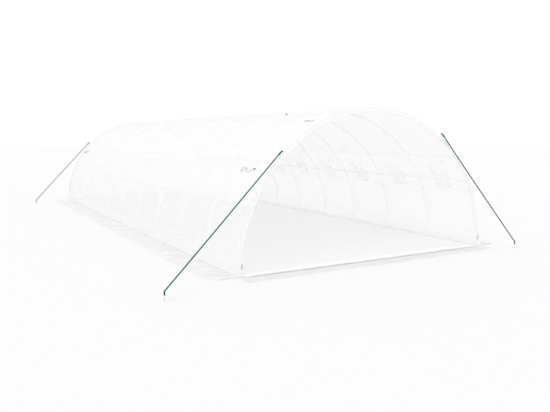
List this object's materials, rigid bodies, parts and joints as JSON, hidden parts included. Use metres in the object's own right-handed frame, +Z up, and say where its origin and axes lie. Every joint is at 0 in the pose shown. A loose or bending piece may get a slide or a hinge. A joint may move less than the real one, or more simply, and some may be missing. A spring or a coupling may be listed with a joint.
{
  "type": "tunnel greenhouse tent",
  "caption": "Half-round walk-in tunnel greenhouse: steel hoop frame, translucent film cover, netted side windows with tied-up flaps, zipped ends, ground flaps and guy ropes",
  "frame": {"origin": "on the ground at the middle of the tunnel's footprint", "axes": "+Z up; the tunnel runs along Y, with its open end facing -Y; +X is to the right, seen from outside the open end"},
  "size_m": [5.4841, 10.7916, 2],
  "materials": {
    "galvanised_tube": "galvanised, dull",
    "peg_steel": "zinc plated",
    "film": "translucent reinforced film, satin",
    "window_net": "woven insect net",
    "gathered_film": "several layers of the translucent film",
    "ground_flap": "doubled translucent film",
    "webbing": "woven webbing",
    "black_toggle": "moulded, matt",
    "zip_coil": "coil zip",
    "zip_metal": "plated die casting",
    "green_rope": "twisted rope"
  },
  "bodies": {
    "tent": {"front_end_band": "ground_flap", "front_ground_bar": "galvanised_tube", "front_left_peg": "peg_steel", "front_left_rope": "green_rope", "front_left_rope_loop": "webbing", "front_left_toggle": "black_toggle", "front_panel_roll": "gathered_film", "front_right_peg": "peg_steel", "front_right_rope": "green_rope", "front_right_rope_loop": "webbing", "front_right_toggle": "black_toggle", "front_skirt": "ground_flap", "front_zip_chain": "zip_coil", "hoop_01": "galvanised_tube", "hoop_02": "galvanised_tube", "hoop_03": "galvanised_tube", "hoop_04": "galvanised_tube", "hoop_05": "galvanised_tube", "hoop_06": "galvanised_tube", "hoop_07": "galvanised_tube", "hoop_08": "galvanised_tube", "hoop_09": "galvanised_tube", "hoop_10": "galvanised_tube", "hoop_11": "galvanised_tube", "left_base_rail": "galvanised_tube", "left_purlin": "galvanised_tube", "left_skirt": "ground_flap", "left_wall_cover": "film", "left_window_flaps": "gathered_film", "left_window_net": "window_net", "rear_end_band": "ground_flap", "rear_ground_bar": "galvanised_tube", "rear_left_peg": "peg_steel", "rear_left_rope": "green_rope", "rear_left_rope_loop": "webbing", "rear_left_toggle": "black_toggle", "rear_right_rope_loop": "webbing", "rear_right_toggle": "black_toggle", "rear_skirt": "ground_flap", "rear_zip_chain": "zip_coil", "ridge_purlin": "galvanised_tube", "right_base_rail": "galvanised_tube", "right_purlin": "galvanised_tube", "right_skirt": "ground_flap", "right_wall_cover": "film", "right_window_flaps": "gathered_film", "right_window_net": "window_net", "roof_cover": "film"},
    "front_left_slide": {"front_left_slider": "zip_metal"},
    "front_left_tab": {"front_left_pull": "zip_metal"},
    "front_right_slide": {"front_right_slider": "zip_metal"},
    "front_right_tab": {"front_right_pull": "zip_metal"},
    "rear_left_slide": {"rear_left_slider": "zip_metal"},
    "rear_left_tab": {"rear_left_pull": "zip_metal"},
    "rear_right_slide": {"rear_right_slider": "zip_metal"},
    "rear_right_tab": {"rear_right_pull": "zip_metal"},
    "rear_door": {"rear_end_panel": "film"}
  },
  "joints": [
    {"name": "front_left_zip", "type": "hinge", "parent": "tent", "child": "front_left_slide", "pos_m": [0, -4.999, 0], "axis": [0, 1, 0], "range_deg": [0, 84]},
    {"name": "front_left_pull_pivot", "type": "hinge", "parent": "front_left_slide", "child": "front_left_tab", "pos_m": [-1.95189, -5.00444, 0.13649], "axis": [-0.9976, 0, 0.0698], "range_deg": [0, 150]},
    {"name": "front_right_zip", "type": "hinge", "parent": "tent", "child": "front_right_slide", "pos_m": [0, -4.999, 0], "axis": [0, -1, 0], "range_deg": [0, 84]},
    {"name": "front_right_pull_pivot", "type": "hinge", "parent": "front_right_slide", "child": "front_right_tab", "pos_m": [1.95189, -5.00444, 0.13649], "axis": [-0.9976, 0, -0.0698], "range_deg": [0, 150]},
    {"name": "rear_left_zip", "type": "hinge", "parent": "tent", "child": "rear_left_slide", "pos_m": [0, 4.999, 0], "axis": [0, -1, 0], "range_deg": [0, 84]},
    {"name": "rear_left_pull_pivot", "type": "hinge", "parent": "rear_left_slide", "child": "rear_left_tab", "pos_m": [-0.06829, 5.00444, 1.95547], "axis": [0.0349, 0, -0.9994], "range_deg": [0, 150]},
    {"name": "rear_right_zip", "type": "hinge", "parent": "tent", "child": "rear_right_slide", "pos_m": [0, 4.999, 0], "axis": [0, 1, 0], "range_deg": [0, 84]},
    {"name": "rear_right_pull_pivot", "type": "hinge", "parent": "rear_right_slide", "child": "rear_right_tab", "pos_m": [0.06829, 5.00444, 1.95547], "axis": [0.0349, 0, 0.9994], "range_deg": [0, 150]},
    {"name": "rear_panel_hinge", "type": "hinge", "parent": "tent", "child": "rear_door", "pos_m": [0, 4.99975, 0.0018], "axis": [-1, 0, 0], "range_deg": [0, 90]}
  ]
}
